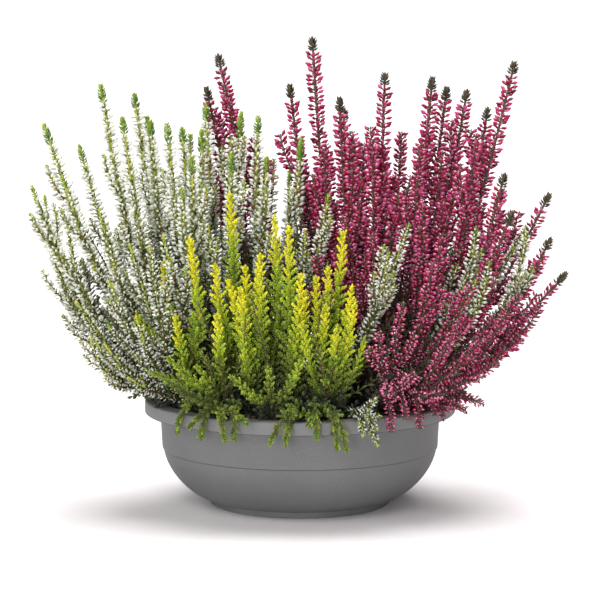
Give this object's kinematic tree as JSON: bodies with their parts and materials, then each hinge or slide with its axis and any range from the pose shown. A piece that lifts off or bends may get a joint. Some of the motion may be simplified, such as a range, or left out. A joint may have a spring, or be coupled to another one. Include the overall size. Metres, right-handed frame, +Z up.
{
  "type": "potted heather",
  "caption": "Round bowl planter with a low foot and a down-turned lip, filled with soil and planted with white, magenta and yellow-leaved heathers that fan out over its rim.",
  "frame": {"origin": "middle of the flat underside of the bowl's foot, on the surface that it stands on", "axes": "+Z up; +X to the magenta heather's side; -Y to the yellow heather's side, which is the front"},
  "size_m": [0.392, 0.2494, 0.343],
  "materials": {
    "bowl": "matt dark grey moulded plastic",
    "potting_soil": "damp dark potting compost, crumbly",
    "white_heather": "slim matt white buds with green leafy tips on brown stems",
    "magenta_heather": "plump satin crimson to magenta buds with olive tips on brown stems",
    "yellow_heather": "matt scale leaves, yellow at the tips and green below"
  },
  "bodies": {
    "root": {"bowl": "bowl", "magenta_spray_01": "magenta_heather", "magenta_spray_02": "magenta_heather", "magenta_spray_03": "magenta_heather", "magenta_spray_04": "magenta_heather", "magenta_spray_05": "magenta_heather", "magenta_spray_06": "magenta_heather", "magenta_spray_07": "magenta_heather", "magenta_spray_08": "magenta_heather", "magenta_spray_09": "magenta_heather", "magenta_spray_10": "magenta_heather", "magenta_spray_11": "magenta_heather", "magenta_spray_12": "magenta_heather", "magenta_spray_13": "magenta_heather", "magenta_spray_14": "magenta_heather", "magenta_spray_15": "magenta_heather", "magenta_spray_16": "magenta_heather", "magenta_spray_17": "magenta_heather", "magenta_spray_18": "magenta_heather", "magenta_spray_19": "magenta_heather", "magenta_spray_20": "magenta_heather", "magenta_spray_21": "magenta_heather", "magenta_spray_22": "magenta_heather", "magenta_spray_23": "magenta_heather", "potting_soil": "potting_soil", "trailing_spray_01": "yellow_heather", "trailing_spray_02": "yellow_heather", "trailing_spray_03": "white_heather", "white_spray_01": "white_heather", "white_spray_02": "white_heather", "white_spray_03": "white_heather", "white_spray_04": "white_heather", "white_spray_05": "white_heather", "white_spray_06": "white_heather", "white_spray_07": "white_heather", "white_spray_08": "white_heather", "white_spray_09": "white_heather", "white_spray_10": "white_heather", "white_spray_11": "white_heather", "white_spray_12": "white_heather", "white_spray_13": "white_heather", "white_spray_14": "white_heather", "white_spray_15": "white_heather", "white_spray_16": "white_heather", "white_spray_17": "white_heather", "white_spray_18": "white_heather", "white_spray_19": "white_heather", "white_spray_20": "white_heather", "white_spray_21": "white_heather", "white_spray_22": "white_heather", "white_spray_23": "white_heather", "yellow_spray_01": "yellow_heather", "yellow_spray_02": "yellow_heather", "yellow_spray_03": "yellow_heather", "yellow_spray_04": "yellow_heather", "yellow_spray_05": "yellow_heather", "yellow_spray_06": "yellow_heather", "yellow_spray_07": "yellow_heather", "yellow_spray_08": "yellow_heather", "yellow_spray_09": "yellow_heather"}
  },
  "joints": []
}
